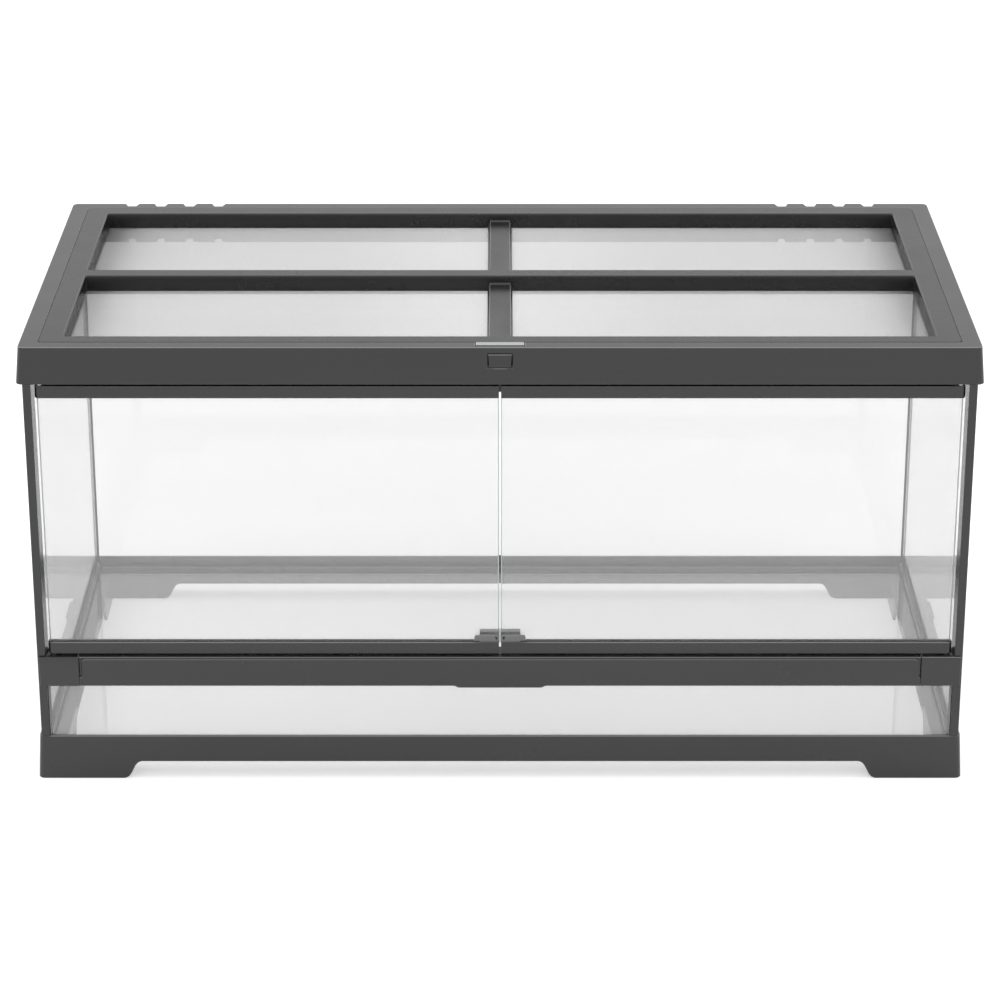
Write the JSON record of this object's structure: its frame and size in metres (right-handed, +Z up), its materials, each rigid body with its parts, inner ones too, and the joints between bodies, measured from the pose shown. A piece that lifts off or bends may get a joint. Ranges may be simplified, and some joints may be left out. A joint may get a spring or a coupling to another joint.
{
  "type": "small pet cage",
  "caption": "Front-opening glass cage for small pets, with charcoal plastic frames, swing doors over a vented rail and a hinged mesh lid.",
  "frame": {"origin": "on the floor, below the middle of the cage", "axes": "+X to the right of someone facing the doors, along the longest side; +Y to the back; +Z up"},
  "size_m": [0.912, 0.462, 0.45],
  "materials": {
    "charcoal_plastic": "satin moulded plastic with a fine grain",
    "satin_trim": "smoother satin plastic",
    "clear_glass": "clear float glass with polished edges",
    "black_sealant": "cured silicone, soft sheen",
    "clear_sealant": "translucent cured silicone",
    "steel_mesh": "woven bright wire",
    "steel_pin": "turned steel"
  },
  "bodies": {
    "cage": {"base_frame": "charcoal_plastic", "bottom_glass": "clear_glass", "left_side_glass": "clear_glass", "right_side_glass": "clear_glass", "back_glass": "clear_glass", "lower_front_glass": "clear_glass", "back_left_bead": "clear_sealant", "back_right_bead": "clear_sealant", "front_left_bead": "black_sealant", "front_right_bead": "black_sealant", "floor_bead": "clear_sealant", "left_edge_profile": "charcoal_plastic", "right_edge_profile": "charcoal_plastic", "front_rail": "charcoal_plastic", "left_rail_end": "charcoal_plastic", "right_rail_end": "charcoal_plastic", "top_frame": "charcoal_plastic", "door_stop_strip": "charcoal_plastic"},
    "lid": {"lid_frame": "charcoal_plastic", "lid_mesh": "steel_mesh", "mesh_clamp": "charcoal_plastic", "lid_latch_tongue": "satin_trim"},
    "latch_hook": {"lid_latch_hook": "satin_trim"},
    "button": {"latch_button": "charcoal_plastic"},
    "shutter": {"vent_shutter": "charcoal_plastic"},
    "left_door": {"left_door_glass": "clear_glass", "left_door_bottom_profile": "charcoal_plastic", "left_door_top_profile": "charcoal_plastic", "left_door_lower_pin": "steel_pin", "left_door_upper_pin": "steel_pin", "left_door_handle": "satin_trim"},
    "right_door": {"right_door_glass": "clear_glass", "right_door_bottom_profile": "charcoal_plastic", "right_door_top_profile": "charcoal_plastic", "right_door_lower_pin": "steel_pin", "right_door_upper_pin": "steel_pin", "right_door_handle": "satin_trim"}
  },
  "joints": [
    {"name": "left_door_hinge", "type": "hinge", "parent": "cage", "child": "left_door", "pos_m": [-0.4344, -0.222, 0.273], "axis": [0, 0, -1], "range_deg": [0, 105]},
    {"name": "right_door_hinge", "type": "hinge", "parent": "cage", "child": "right_door", "pos_m": [0.4344, -0.222, 0.273], "axis": [0, 0, 1], "range_deg": [0, 105]},
    {"name": "lid_hinge", "type": "hinge", "parent": "cage", "child": "lid", "pos_m": [0, 0.214, 0.45], "axis": [-1, 0, 0], "range_deg": [0, 85]},
    {"name": "latch_button_press", "type": "slide", "parent": "cage", "child": "button", "axis": [0, 1, 0], "range_m": [0, 0.002], "stiffness_N_per_m": 400, "springref_m": -0.002},
    {"name": "latch_hook_flex", "type": "hinge", "parent": "lid", "child": "latch_hook", "pos_m": [0, -0.2201, 0.4469], "axis": [1, 0, 0], "range_deg": [0, 10.5]},
    {"name": "vent_shutter_slide", "type": "slide", "parent": "cage", "child": "shutter", "axis": [0, 0, -1], "range_m": [0, 0.008]}
  ],
  "couplings": [
    {"joint": "latch_hook_flex", "follows": "latch_button_press", "rad_per_m": 90}
  ]
}
